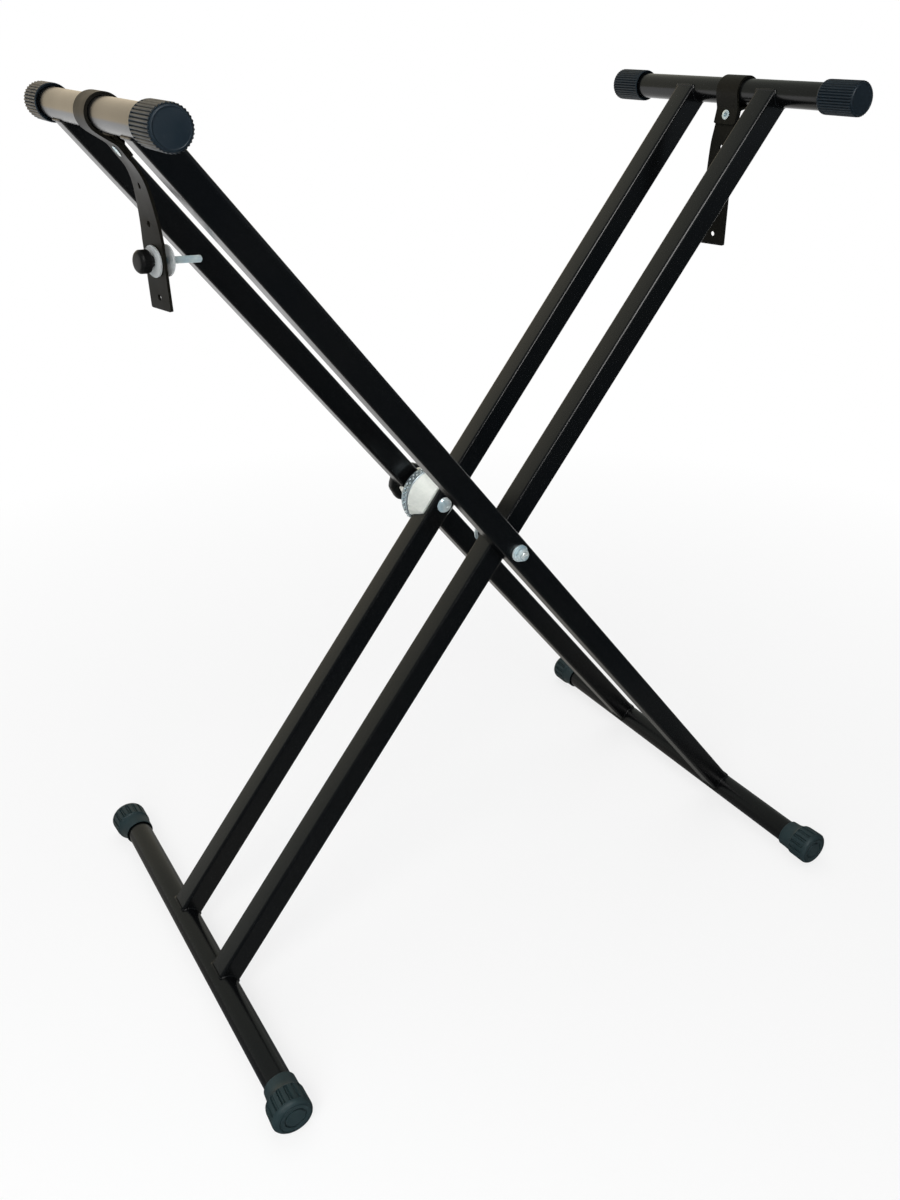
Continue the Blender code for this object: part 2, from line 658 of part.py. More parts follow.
def lock_screw(parent, tail):
    """Thumb screw through a hole of the left strap, with a plastic head and two nylon washers."""
    flat = hole_frame(tail, HOLE_FIRST + SCREW_HOLE * HOLE_PITCH, 1)
    drooped = flat.copy()
    drooped.translation = (0, 0, 0)
    drooped = Matrix.Translation(flat.translation) @ Matrix.Rotation(SCREW_DROOP, 4, "Y") @ drooped
    outer_face = -STRAP_THICK / 2 - GAP - PAD_THICK
    bore = SCREW_RADIUS + GAP
    base = outer_face - 2.5 * GAP
    back = base - COLLAR_LENGTH
    end = back - SCREW_HEAD_LENGTH
    shank_end = end + 0.0030
    shank = [(0, shank_end), (SCREW_RADIUS, shank_end), (SCREW_RADIUS, SCREW_TIP - 0.0015),
             (SCREW_RADIUS * 0.6, SCREW_TIP), (0, SCREW_TIP)]
    head = [(0, shank_end - GAP), (bore, shank_end - GAP), (bore, base), (COLLAR_RADIUS, base),
            (COLLAR_RADIUS, back), (SCREW_HEAD_RADIUS * 0.95, back), (SCREW_HEAD_RADIUS, back - 0.0008),
            (SCREW_HEAD_RADIUS * 0.98, end + 0.0022), (SCREW_HEAD_RADIUS * 0.84, end + 0.0004),
            (SCREW_HEAD_RADIUS * 0.76, end), (0, end)]
    pieces = [add_object("lock_screw", turned(shank, 16, closed=False), zinc(), parent),
              add_object("lock_screw_head", turned(head, 28, closed=False), knob_plastic(), parent),
              washer("strap_washer_inner", parent, LOOSE_PAD, PAD_THICK, PAD_RADIUS, bore, nylon())]
    for piece in pieces:
        place(piece, drooped, (0, LEFT_STRAP_Y, 0))
    wide = bore + PAD_THICK * sin(SCREW_DROOP) * 2
    outer = washer("strap_washer_outer", parent, outer_face, PAD_THICK, PAD_RADIUS, wide, nylon())
    place(outer, flat, (0, LEFT_STRAP_Y, 0))


def upright_empty(name, point):
    empty = bpy.data.objects.new(name, None)
    bpy.context.collection.objects.link(empty)
    empty.location = point
    return empty


main()
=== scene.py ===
"""Looks of a folding keyboard stand: smooth painted tubes, welds, ribbed rubber, zinc and pressed steel."""
import json
import bmesh
import bpy
from math import atan2, cos, hypot, pi, radians, sin, sqrt
from mathutils import Matrix, Vector


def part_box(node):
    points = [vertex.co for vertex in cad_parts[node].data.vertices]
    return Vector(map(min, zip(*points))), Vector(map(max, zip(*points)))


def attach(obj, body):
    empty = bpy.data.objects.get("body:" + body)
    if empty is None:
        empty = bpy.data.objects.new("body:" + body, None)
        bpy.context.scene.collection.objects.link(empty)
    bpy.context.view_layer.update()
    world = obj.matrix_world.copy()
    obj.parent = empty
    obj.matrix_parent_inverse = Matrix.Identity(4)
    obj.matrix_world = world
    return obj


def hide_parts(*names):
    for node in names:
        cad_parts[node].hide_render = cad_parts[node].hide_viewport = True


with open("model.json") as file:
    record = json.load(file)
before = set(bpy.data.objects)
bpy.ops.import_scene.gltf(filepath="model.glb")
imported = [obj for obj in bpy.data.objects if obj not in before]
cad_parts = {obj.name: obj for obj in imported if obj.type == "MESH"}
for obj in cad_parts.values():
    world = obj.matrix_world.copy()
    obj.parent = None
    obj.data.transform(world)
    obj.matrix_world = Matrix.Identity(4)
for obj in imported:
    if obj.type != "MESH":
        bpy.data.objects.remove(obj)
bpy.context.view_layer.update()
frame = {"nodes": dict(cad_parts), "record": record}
nodes = frame["nodes"]
record = frame["record"]
BODIES = record["behaviour"]["bodies"]
BODY_OF = {node: body for body, members in BODIES.items() for node in members}
SLOT_OF = {entry["node"]: entry["material_slot"] for entry in record["subparts"]}
JOINTS = {joint["name"]: joint for joint in record["behaviour"]["joints"]}
PIVOT = Vector(JOINTS["frame_fold"]["pos_m"])
MESH_Y = (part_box("clutch_plate_inner")[1].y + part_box("clutch_plate_outer")[0].y) / 2
WALL_DEPTH = 0.0060            # of each clutch cup, from the teeth
WHITE = (1, 1, 1)


# Shader groups shared by the finishes

def new_group(name, inputs, outputs):
    """An empty shader group with named sockets; returns it with its two end nodes."""
    group = bpy.data.node_groups.new(name, "ShaderNodeTree")
    for label, kind, value in inputs:
        socket = group.interface.new_socket(label, in_out="INPUT", socket_type=kind)
        socket.default_value = value
    for label, kind in outputs:
        group.interface.new_socket(label, in_out="OUTPUT", socket_type=kind)
    return group, group.nodes.new("NodeGroupInput"), group.nodes.new("NodeGroupOutput")


def noise_in(group, given, detail=3.0):
    """A noise on the piece's own coordinates, at the group's Scale."""
    coords = group.nodes.new("ShaderNodeTexCoord")
    noise = group.nodes.new("ShaderNodeTexNoise")
    noise.inputs["Detail"].default_value = detail
    group.links.new(coords.outputs["Object"], noise.inputs["Vector"])
    group.links.new(given.outputs["Scale"], noise.inputs["Scale"])
    return noise


def grain_group():
    """Fine unevenness of a surface: orange peel on paint, moulding grain on rubber, lay on metal."""
    group, given, result = new_group(
        "surface_grain",
        [("Scale", "NodeSocketFloat", 900.0), ("Strength", "NodeSocketFloat", 0.1),
         ("Depth", "NodeSocketFloat", 0.0002)],
        [("Normal", "NodeSocketVector")])
    noise = noise_in(group, given)
    bump = group.nodes.new("ShaderNodeBump")
    group.links.new(noise.outputs["Fac"], bump.inputs["Height"])
    group.links.new(given.outputs["Strength"], bump.inputs["Strength"])
    group.links.new(given.outputs["Depth"], bump.inputs["Distance"])
    group.links.new(bump.outputs["Normal"], result.inputs["Normal"])
    return group


NOISE_LOW, NOISE_HIGH = 0.32, 0.68    # nearly all of the noise lies between these


def patches_group():
    """Slow cloudy change between two values and two colours."""
    group, given, result = new_group(
        "handled_patches",
        [("Scale", "NodeSocketFloat", 20.0), ("Low", "NodeSocketFloat", 0.3),
         ("High", "NodeSocketFloat", 0.4), ("Colour", "NodeSocketColor", (0, 0, 0, 1)),
         ("Other Colour", "NodeSocketColor", (0, 0, 0, 1))],
        [("Value", "NodeSocketFloat"), ("Colour", "NodeSocketColor")])
    noise = noise_in(group, given)
    spread = group.nodes.new("ShaderNodeMapRange")
    spread.inputs["From Min"].default_value = NOISE_LOW
    spread.inputs["From Max"].default_value = NOISE_HIGH
    value = group.nodes.new("ShaderNodeMapRange")
    mix = group.nodes.new("ShaderNodeMix")
    mix.data_type = "RGBA"
    group.links.new(noise.outputs["Fac"], spread.inputs["Value"])
    group.links.new(spread.outputs["Result"], value.inputs["Value"])
    group.links.new(given.outputs["Low"], value.inputs["To Min"])
    group.links.new(given.outputs["High"], value.inputs["To Max"])
    group.links.new(spread.outputs["Result"], mix.inputs["Factor"])
    group.links.new(given.outputs["Colour"], mix.inputs["A"])
    group.links.new(given.outputs["Other Colour"], mix.inputs["B"])
    group.links.new(value.outputs["Result"], result.inputs["Value"])
    group.links.new(mix.outputs["Result"], result.inputs["Colour"])
    return group


SPECK_FULL = 0.85              # noise at which a speck covers fully
DUST_COVER = 0.62              # noise at which a speck begins


def specks_group():
    """A mask of sparse fine specks, for dust and tiny rubs."""
    group, given, result = new_group(
        "fine_specks",
        [("Scale", "NodeSocketFloat", 400.0), ("Cover", "NodeSocketFloat", 0.7),
         ("Amount", "NodeSocketFloat", 0.3)],
        [("Mask", "NodeSocketFloat")])
    noise = noise_in(group, given, detail=5.0)
    spread = group.nodes.new("ShaderNodeMapRange")
    spread.inputs["From Max"].default_value = SPECK_FULL
    group.links.new(noise.outputs["Fac"], spread.inputs["Value"])
    group.links.new(given.outputs["Cover"], spread.inputs["From Min"])
    group.links.new(given.outputs["Amount"], spread.inputs["To Max"])
    group.links.new(spread.outputs["Result"], result.inputs["Mask"])
    return group


GRAIN = grain_group()
PATCHES = patches_group()
SPECKS = specks_group()


def place_group(tree, group, values):
    """Put a shader group in a material and set its inputs."""
    node = tree.nodes.new("ShaderNodeGroup")
    node.node_tree = group
    for label, value in values.items():
        node.inputs[label].default_value = value
    return node


def finish_of(name, colour, other, roughness, *, grain, patch, dust, dust_amount, metallic=0.0,
              specular=0.5):
    """A Principled material with cloudy colour and gloss, fine grain and a trace of dust.

    roughness holds its least and most, grain the bump's scale, strength and depth, and patch is the
    scale of the clouds.
    """
    mat = bpy.data.materials.new(name)
    mat.use_nodes = True
    tree = mat.node_tree
    surface = tree.nodes["Principled BSDF"]
    surface.inputs["Metallic"].default_value = metallic
    surface.inputs["Specular IOR Level"].default_value = specular
    clouds = place_group(tree, PATCHES, {
        "Scale": patch, "Low": roughness[0], "High": roughness[1], "Colour": (*colour, 1),
        "Other Colour": (*other, 1)})
    specks = place_group(tree, SPECKS, {"Cover": DUST_COVER, "Amount": dust_amount})
    lay = place_group(tree, GRAIN, {"Scale": grain[0], "Strength": grain[1], "Depth": grain[2]})
    dusty = tree.nodes.new("ShaderNodeMix")
    dusty.data_type = "RGBA"
    dusty.inputs["B"].default_value = (*dust, 1)
    tree.links.new(specks.outputs["Mask"], dusty.inputs["Factor"])
    tree.links.new(clouds.outputs["Colour"], dusty.inputs["A"])
    tree.links.new(dusty.outputs["Result"], surface.inputs["Base Color"])
    tree.links.new(clouds.outputs["Value"], surface.inputs["Roughness"])
    tree.links.new(lay.outputs["Normal"], surface.inputs["Normal"])
    return mat


def black_powder_coat():
    return finish_of("black_powder_coat", (0.0022, 0.0026, 0.0031), (0.0032, 0.0033, 0.0034), (0.20, 0.27),
                     grain=(1300, 0.03, 0.0001), patch=9.0, dust=(0.05, 0.05, 0.045), dust_amount=0.06)


def ribbed_cap_rubber():
    return finish_of("ribbed_cap_rubber", (0.0065, 0.0130, 0.0195), (0.0095, 0.0165, 0.0235), (0.36, 0.48),
                     specular=0.3, grain=(1500, 0.12, 0.0002), patch=70.0, dust=(0.10, 0.11, 0.12),
                     dust_amount=0.12)


def foot_rubber():
    return finish_of("foot_rubber", (0.014, 0.027, 0.030), (0.020, 0.035, 0.039), (0.40, 0.52), specular=0.3,
                     grain=(1300, 0.2, 0.0002), patch=45.0, dust=(0.16, 0.16, 0.15), dust_amount=0.10)


def strap_rubber():
    return finish_of("strap_rubber", (0.0048, 0.0044, 0.0030), (0.0072, 0.0066, 0.0048), (0.40, 0.52),
                     specular=0.16, grain=(1100, 0.15, 0.0002), patch=35.0, dust=(0.16, 0.15, 0.13),
                     dust_amount=0.10)


def bright_zinc():
    return finish_of("bright_zinc", (0.44, 0.62, 0.70), (0.84, 0.89, 0.88), (0.16, 0.30), metallic=0.50,
                     grain=(1600, 0.1, 0.0001), patch=90.0, dust=(0.35, 0.35, 0.33), dust_amount=0.2)


WALL_EDGE = 0.0004             # over which the wall's finish turns into the ears'
WALL_METAL, EAR_METAL = 0.85, 0.25
# Painted reflection and painted shade: the wall, the same steel as the ears, is mixed toward this darker
# blue
WALL_PAINTED_REFLECTION = (0.31, 0.39, 0.45)


def pressed_steel():
    """Galvanised cups: dull pale ears, and a more mirror-like wall round the teeth, painted darker and
    bluish as painted shade and a painted reflection.
    """
    mat = finish_of("pressed_steel", (0.80, 0.81, 0.73), (0.88, 0.88, 0.80), (0.36, 0.48),
                    metallic=EAR_METAL, specular=0.4, grain=(700, 0.12, 0.0001), patch=300.0,
                    dust=(0.85, 0.85, 0.80), dust_amount=0.35)
    tree = mat.node_tree
    surface = tree.nodes["Principled BSDF"]
    coords = tree.nodes.new("ShaderNodeTexCoord")
    parts = tree.nodes.new("ShaderNodeSeparateXYZ")
    off_mesh = tree.nodes.new("ShaderNodeMath")
    off_mesh.operation = "SUBTRACT"
    off_mesh.inputs[1].default_value = MESH_Y
    distance = tree.nodes.new("ShaderNodeMath")
    distance.operation = "ABSOLUTE"
    wall = tree.nodes.new("ShaderNodeMapRange")
    wall.inputs["From Min"].default_value = WALL_DEPTH
    wall.inputs["From Max"].default_value = WALL_DEPTH + WALL_EDGE
    wall.inputs["To Min"].default_value = WALL_METAL
    wall.inputs["To Max"].default_value = EAR_METAL
    # The wall's colour is mixed toward the painted blue reflection, darker than the ears
    painted_reflection = tree.nodes.new("ShaderNodeMix")
    painted_reflection.data_type = "RGBA"
    painted_reflection.inputs["B"].default_value = (*WALL_PAINTED_REFLECTION, 1)
    painted = surface.inputs["Base Color"].links[0].from_socket
    tree.links.new(coords.outputs["Object"], parts.inputs["Vector"])
    tree.links.new(parts.outputs["Y"], off_mesh.inputs[0])
    tree.links.new(off_mesh.outputs["Value"], distance.inputs[0])
    tree.links.new(distance.outputs["Value"], wall.inputs["Value"])
    tree.links.new(wall.outputs["Result"], surface.inputs["Metallic"])
    tree.links.new(wall.outputs["Result"], painted_reflection.inputs["Factor"])
    tree.links.new(painted, painted_reflection.inputs["A"])
    tree.links.new(painted_reflection.outputs["Result"], surface.inputs["Base Color"])
    return mat


def black_knob_plastic():
    return finish_of("black_knob_plastic", (0.003, 0.003, 0.003), (0.005, 0.005, 0.005), (0.36, 0.46),
                     specular=0.3, grain=(1200, 0.2, 0.0002), patch=60.0, dust=(0.08, 0.08, 0.08),
                     dust_amount=0.10)


def white_nylon():
    """The lock screw's pads, which let some light through."""
    mat = finish_of("white_nylon", (0.56, 0.59, 0.60), (0.64, 0.66, 0.66), (0.34, 0.44),
                    grain=(1200, 0.08, 0.0001), patch=80.0, dust=(0.8, 0.8, 0.78), dust_amount=0.2)
    surface = mat.node_tree.nodes["Principled BSDF"]
    surface.inputs["Transmission Weight"].default_value = 0.4
    surface.inputs["IOR"].default_value = 1.2
    return mat


FINISH = {"black_paint": black_powder_coat(), "cap_rubber": ribbed_cap_rubber(),
          "foot_rubber": foot_rubber(), "strap_rubber": strap_rubber(), "zinc": bright_zinc(),
          "plate_steel": pressed_steel(), "black_plastic": black_knob_plastic(),
          "white_nylon": white_nylon()}


# Working by hand: selection and small tools

def only(piece):
    """Select this piece alone and make it active."""
    bpy.ops.object.select_all(action="DESELECT")
    piece.select_set(True)
    bpy.context.view_layer.objects.active = piece


def dress(piece, body, slot):
    """Give a new piece its finish and its body."""
    piece.data.materials.clear()
    piece.data.materials.append(FINISH[slot])
    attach(piece, body)
    return piece


def apply_modifiers(piece):
    """Apply every modifier of this piece, in order."""
    only(piece)
    for modifier in list(piece.modifiers):
        bpy.ops.object.modifier_apply(modifier=modifier.name)


SHARP = radians(38)            # sharper edges than this are rounded, or stay edges in the shading
SHARP_ON_RIBS = radians(50)
SHARP_ON_FEET = radians(40)
MERGE = 0.000004               # points closer than this are one
FLAT = radians(0.15)           # faces that differ less than this in direction are one
ROUND_STEPS = 2


def shade(piece, sharp=SHARP):
    """Smooth shading across soft edges, with flat faces kept flat."""
    only(piece)
    bpy.ops.object.shade_smooth_by_angle(angle=sharp)
    weights = piece.modifiers.new("flat faces stay flat", "WEIGHTED_NORMAL")
    weights.keep_sharp = True
    apply_modifiers(piece)


def smoothed(name, rounding):
    """A merged copy of a node with every sharp edge rounded, so that it catches the light."""
    piece = bpy.data.objects.new(name + "_finished", nodes[name].data.copy())
    bpy.context.scene.collection.objects.link(piece)
    only(piece)
    bpy.ops.object.mode_set(mode="EDIT")
    bpy.ops.mesh.select_all(action="SELECT")
    bpy.ops.mesh.remove_doubles(threshold=MERGE)
    bpy.ops.mesh.customdata_custom_splitnormals_clear()
    bpy.ops.mesh.dissolve_limited(angle_limit=FLAT)
    bpy.ops.object.mode_set(mode="OBJECT")
    bpy.ops.object.shade_smooth()
    bevel = piece.modifiers.new("rounded edges", "BEVEL")
    bevel.limit_method = "ANGLE"
    bevel.angle_limit = SHARP
    bevel.width = rounding
    bevel.segments = ROUND_STEPS
    bevel.miter_outer = "MITER_ARC"
    apply_modifiers(piece)
    shade(piece)
    dress(piece, BODY_OF[name], SLOT_OF[name])
    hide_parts(name)
    return piece


REMODELLED = ("cap_front", "cap_rear", "foot_front", "foot_rear", "lock_screw", "lock_screw_head")
ROUNDING = {"black_paint": 0.0003, "strap_rubber": 0.0004, "zinc": 0.00025, "plate_steel": 0.00018,
            "black_plastic": 0.0004, "white_nylon": 0.0003}
for node_name in sorted(nodes):
    if not node_name.endswith(REMODELLED):
        smoothed(node_name, ROUNDING[SLOT_OF[node_name]])


# Turned and moulded pieces

def select_points(piece, wanted):
    """In edit mode, select just the points for which wanted(place) is true."""
    shape = bmesh.from_edit_mesh(piece.data)
    shape.select_mode = {"VERT"}
    for point in shape.verts:
        point.select = wanted(point.co)
    shape.select_flush_mode()
    bmesh.update_edit_mesh(piece.data)


def turned(name, stations, count):
    """Extrude a disc along Y through (distance, radius) stations; left in edit mode, closed at both ends."""
    distance, radius = stations[0]
    bpy.ops.object.select_all(action="DESELECT")
    bpy.ops.mesh.primitive_circle_add(vertices=count, radius=radius, fill_type="NGON",
                                      location=(0, distance, 0), rotation=(radians(90), 0, 0))
    piece = bpy.context.object
    piece.name = name
    bpy.ops.object.transform_apply(location=True, rotation=True, scale=True)
    bpy.ops.object.mode_set(mode="EDIT")
    bpy.ops.mesh.select_mode(type="FACE")
    bpy.ops.mesh.select_all(action="SELECT")
    for next_distance, next_radius in stations[1:]:
        step = (0, next_distance - distance, 0)
        bpy.ops.mesh.extrude_region_move(TRANSFORM_OT_translate={"value": step})
        grow = next_radius / radius
        bpy.ops.transform.resize(value=(grow, 1, grow), center_override=(0, next_distance, 0))
        distance, radius = next_distance, next_radius
    bpy.ops.mesh.select_all(action="SELECT")
    bpy.ops.mesh.normals_make_consistent(inside=False)
    bpy.ops.mesh.select_mode(type="VERT")
    return piece


def press(piece, count, depths, low, high, above):
    """Push columns of outer points toward the axis; depths repeats round the piece."""
    for depth in sorted(set(depths)):
        if depth == 0:
            continue

        def in_column(place):
            column = round(atan2(place.z, place.x) / (2 * pi) * count) % count
            outside = hypot(place.x, place.z) > above
            return outside and low < place.y < high and depths[column % len(depths)] == depth
        select_points(piece, in_column)
        share = 1 - depth / above
        bpy.ops.transform.resize(value=(share, 1, share), center_override=(0, 0, 0))


def finish_shape(piece, sharp=SHARP):
    """Leave edit mode and shade the piece."""
    bpy.ops.object.mode_set(mode="OBJECT")
    shade(piece, sharp)


def copy_to(model, name, place, node):
    """A copy of a model with its own mesh, moved by a matrix, standing for a node."""
    mesh = model.data.copy()
    mesh.transform(place)
    piece = bpy.data.objects.new(name, mesh)
    bpy.context.scene.collection.objects.link(piece)
    dress(piece, BODY_OF[node], SLOT_OF[node])
    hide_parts(node)
    return piece


CAP_RIBS = 36
CAP_COLUMNS = 6                # points round the cap for each rib
RIB_GROOVE = (0.0013, 0.0005, 0.0001, 0, 0.0001, 0.0005)
RIBS_FROM, RIBS_TO = 0.0015, 0.0405
RIBS_ABOVE = 0.0150            # radius; the mouth and the end disc stay round
CAP_STATIONS = [(0.0370, 0.0128), (0.0042, 0.0128), (0.0040, 0.0140), (0.0006, 0.0144), (0, 0.0147),
                (0, 0.0151), (0.0006, 0.01545), (0.0013, 0.0156), (0.0018, 0.0157), (0.0396, 0.0157),
                (0.0403, 0.0154), (0.0405, 0.0149), (0.0401, 0.0147), (0.0409, 0.0145), (0.0417, 0.0140),
                (0.0420, 0.0133), (0.0420, 0.0130), (0.0415, 0.0127), (0.0414, 0.0122)]


def ribbed_cap():
    """Rubber bar cap: a lip round a recessed mouth, convex ribs between narrow grooves, a raised rim."""
    count = CAP_RIBS * CAP_COLUMNS
    cap = turned("cap_model", CAP_STATIONS, count)
    press(cap, count, RIB_GROOVE, RIBS_FROM, RIBS_TO, RIBS_ABOVE)
    finish_shape(cap, SHARP_ON_RIBS)
    return cap


FOOT_PANELS = 16
FOOT_COLUMNS = 12              # points round the foot for each panel
FOOT_SHIFT = 0.0030            # the big end sits further out than the bar
PANEL_PRESS = (0.0018, 0.0012, 0.0012, 0.0012, 0.0018, 0, 0, 0, 0, 0, 0, 0)
PANELS_FROM, PANELS_TO = 0.0178, 0.0354
PANELS_ABOVE = 0.0190          # radius
SAME_RING = 0.00002            # points this close along the foot belong to one ring
FOOT_STATIONS = [(0.0330, 0.0143), (0.0030, 0.0143), (0.0004, 0.0151), (0, 0.0155), (0, 0.0159),
                 (0.0005, 0.0162), (0.0090, 0.0166), (0.0130, 0.0174), (0.0155, 0.0182), (0.0162, 0.0187),
                 (0.0168, 0.0194), (0.0176, 0.0196), (0.0180, 0.0197), (0.0200, 0.0199),
                 (0.0352, 0.0203), (0.0356, 0.0203), (0.0370, 0.0202), (0.0386, 0.0195), (0.0400, 0.0183),
                 (0.0407, 0.0172), (0.0410, 0.0164), (0.0403, 0.0162), (0.0403, 0.0154), (0.0410, 0.0152),
                 (0.0410, 0.0114), (0.0409, 0.0112), (0.0396, 0.0110), (0.0396, 0.0098),
                 (0.0408, 0.0096), (0.0411, 0.0092), (0.0412, 0.0082)]
# Share of the shift that each ring takes, by its distance along the foot
FOOT_SHIFTS = {0.0090: 0.15, 0.0130: 0.4, 0.0155: 0.6, 0.0162: 0.65, 0.0168: 0.7, 0.0176: 0.73, 0.0180: 0.75,
               0.0200: 0.85, 0.0352: 1.0, 0.0356: 1.0, 0.0370: 1.0, 0.0386: 0.9, 0.0400: 0.75,
               0.0407: 0.6, 0.0410: 0.5, 0.0403: 0.5, 0.0409: 0.45, 0.0396: 0.45, 0.0408: 0.45,
               0.0411: 0.45, 0.0412: 0.45}


def moulded_foot(side):
    """Rubber foot: round collar and a bigger end with pressed panels, shifted toward side on X."""
    count = FOOT_PANELS * FOOT_COLUMNS
    foot = turned("foot_model", FOOT_STATIONS, count)
    press(foot, count, PANEL_PRESS, PANELS_FROM, PANELS_TO, PANELS_ABOVE)
    for distance, share in FOOT_SHIFTS.items():
        select_points(foot, lambda place: abs(place.y - distance) < SAME_RING)
        bpy.ops.transform.translate(value=(side * FOOT_SHIFT * share, 0, 0))
    finish_shape(foot, SHARP_ON_FEET)
    return foot


def cover_bar_ends(prefix, bar_name, part):
    """A cap or foot on both ends of a bar, with its mouth where the solid's is."""
    low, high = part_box(prefix + "_" + bar_name + "_bar")
    axis = Vector(((low.x + high.x) / 2, 0, (low.z + high.z) / 2))
    side = 1 if axis.x > 0 else -1
    for end, way in (("front", -1), ("rear", 1)):
        node_name = prefix + "_" + part + "_" + end
        node_low, node_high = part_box(node_name)
        mouth = node_low.y if way > 0 else node_high.y
        turn_round = Matrix.Rotation(pi if way < 0 else 0, 4, "Z")
        model = cap_model if part == "cap" else foot_models[side * way]
        place = Matrix.Translation(axis + Vector((0, mouth, 0))) @ turn_round
        copy_to(model, node_name + "_moulded", place, node_name)


cap_model = ribbed_cap()
foot_models = {side: moulded_foot(side) for side in (-1, 1)}
for prefix in ("inner", "outer"):
    cover_bar_ends(prefix, "top", "cap")
    cover_bar_ends(prefix, "base", "foot")


# Lock screw: threaded shank and knurled head on the screw's own axis

SCREW_JOINT = JOINTS["strap_screw_turn"]
SCREW_WAY = Vector(SCREW_JOINT["axis"]).normalized()
SCREW_PLACE = (Matrix.Translation(SCREW_JOINT["pos_m"])
               @ Vector((0, 1, 0)).rotation_difference(SCREW_WAY).to_matrix().to_4x4())
THREAD_PITCH = 0.0010
THREAD_ROOT = 0.00248
THREAD_CREST = 0.00298
THREAD_SINK = 0.0002           # of the thread's foot into the core
CREST_FROM, CREST_TO, FLANK_END = 0.42, 0.56, 0.98    # shares of the pitch
THREAD_STEPS = 20
SHANK_LOW, SHANK_TIP = -0.0125, 0.0420
TIP_RING = 0.0012              # a ring of points behind the chamfer, which keeps its edge crisp
TIP_CHAMFER = 0.0008
TIP_RADIUS = 0.0019
THREAD_LOW, THREAD_TURNS = -0.0010, 42


def threaded_shank():
    """A core with a chamfered tip, and a helical thread swept round it by a screw modifier."""
    core = turned("shank_model", [(SHANK_LOW, THREAD_ROOT), (SHANK_TIP - TIP_RING, THREAD_ROOT),
                                  (SHANK_TIP - TIP_CHAMFER, THREAD_ROOT), (SHANK_TIP, TIP_RADIUS)],
                  THREAD_STEPS)
    finish_shape(core)
    valley = THREAD_ROOT - THREAD_SINK
    profile = [(valley, 0), (THREAD_CREST, CREST_FROM), (THREAD_CREST, CREST_TO), (valley, FLANK_END),
               (valley, 1)]
    mesh = bpy.data.meshes.new("thread_profile")
    points = [(0, THREAD_LOW + share * THREAD_PITCH, radius) for radius, share in profile]
    mesh.from_pydata(points, [(index, index + 1) for index in range(len(points) - 1)], [])
    thread = bpy.data.objects.new("thread_model", mesh)
    bpy.context.scene.collection.objects.link(thread)
    sweep = thread.modifiers.new("thread", "SCREW")
    sweep.axis = "Y"
    sweep.screw_offset = THREAD_PITCH
    sweep.iterations = THREAD_TURNS
    sweep.steps = THREAD_STEPS
    sweep.render_steps = THREAD_STEPS
    apply_modifiers(thread)
    bpy.ops.object.mode_set(mode="EDIT")
    bpy.ops.mesh.select_all(action="SELECT")
    bpy.ops.mesh.remove_doubles(threshold=MERGE)
    bpy.ops.mesh.fill_holes(sides=0)
    bpy.ops.mesh.select_all(action="SELECT")
    bpy.ops.mesh.normals_make_consistent(inside=False)
    finish_shape(thread)
    return core, thread


HEAD_BASE = 0.0039             # from the strap's middle to the collar
KNURLS = 30
KNURL_PRESS = (0.00035, 0.0001, 0, 0.0001)
KNURLS_FROM, KNURLS_TO = 0.0048, 0.0106
KNURLS_ABOVE = 0.0092          # radius
HEAD_STATIONS = [(0, 0.0047), (0.0004, 0.0050), (0.0034, 0.0050), (0.0036, 0.0086), (0.0040, 0.0092),
                 (0.0046, 0.0094), (0.0050, 0.0095), (0.0104, 0.0094), (0.0108, 0.0093), (0.0116, 0.0088),
                 (0.0125, 0.0080), (0.0130, 0.0072), (0.0132, 0.0060), (0.0133, 0.0030)]


def knurled_head():
    """Thumb screw head with a short collar, a knurled edge and a bevelled face."""
    count = KNURLS * len(KNURL_PRESS)
    head = turned("screw_head_model", HEAD_STATIONS, count)
    press(head, count, KNURL_PRESS, KNURLS_FROM, KNURLS_TO, KNURLS_ABOVE)
    finish_shape(head, SHARP_ON_RIBS)
    return head


core_model, thread_model = threaded_shank()
head_model = knurled_head()
copy_to(core_model, "lock_screw_shank", SCREW_PLACE, "lock_screw")
copy_to(thread_model, "lock_screw_thread", SCREW_PLACE, "lock_screw")
head_turn = Matrix.Translation((0, -HEAD_BASE, 0)) @ Matrix.Rotation(pi, 4, "X")
copy_to(head_model, "lock_screw_head_knurled", SCREW_PLACE @ head_turn, "lock_screw_head")


for model in [cap_model, core_model, thread_model, head_model] + list(foot_models.values()):
    bpy.data.objects.remove(model)


# Pressed lumps behind the clutch teeth, on the rims of both cups, in brighter zinc than the cups' steel as
# painted highlights

CLUTCH_TEETH = 36
CUP_RADIUS = 0.0330
LUMP_RADIUS = 0.0013
LUMP_OFF_MESH = 0.0019         # along the pivot, from where the teeth meet


def tooth_lumps(name, node, way, shift):
    """A ring of small domes on a cup's wall, finished in brighter zinc as painted highlights; shift is in
    teeth.
    """
    lumps = []
    lump_y = MESH_Y + way * LUMP_OFF_MESH
    for tooth in range(CLUTCH_TEETH):
        angle = 2 * pi * (tooth + shift) / CLUTCH_TEETH
        centre = (PIVOT.x + CUP_RADIUS * cos(angle), lump_y, PIVOT.z + CUP_RADIUS * sin(angle))
        bpy.ops.mesh.primitive_ico_sphere_add(subdivisions=2, radius=LUMP_RADIUS, location=centre)
        lumps.append(bpy.context.object)
    bpy.ops.object.select_all(action="DESELECT")
    for lump in lumps:
        lump.select_set(True)
    bpy.context.view_layer.objects.active = lumps[0]
    bpy.ops.object.join()
    ring_of_lumps = bpy.context.object
    ring_of_lumps.name = name
    bpy.ops.object.transform_apply(location=True, rotation=True, scale=True)
    bpy.ops.object.shade_smooth()
    # The zinc finish, brighter and glossier than the cups' darkened wall, paints the bright dots where the
    # teeth meet: painted highlights on real bumps
    return dress(ring_of_lumps, BODY_OF[node], "zinc")


tooth_lumps("inner_tooth_lumps", "clutch_plate_inner", -1, 0.0)
tooth_lumps("outer_tooth_lumps", "clutch_plate_outer", 1, 0.5)


# Welds where the legs meet the bars

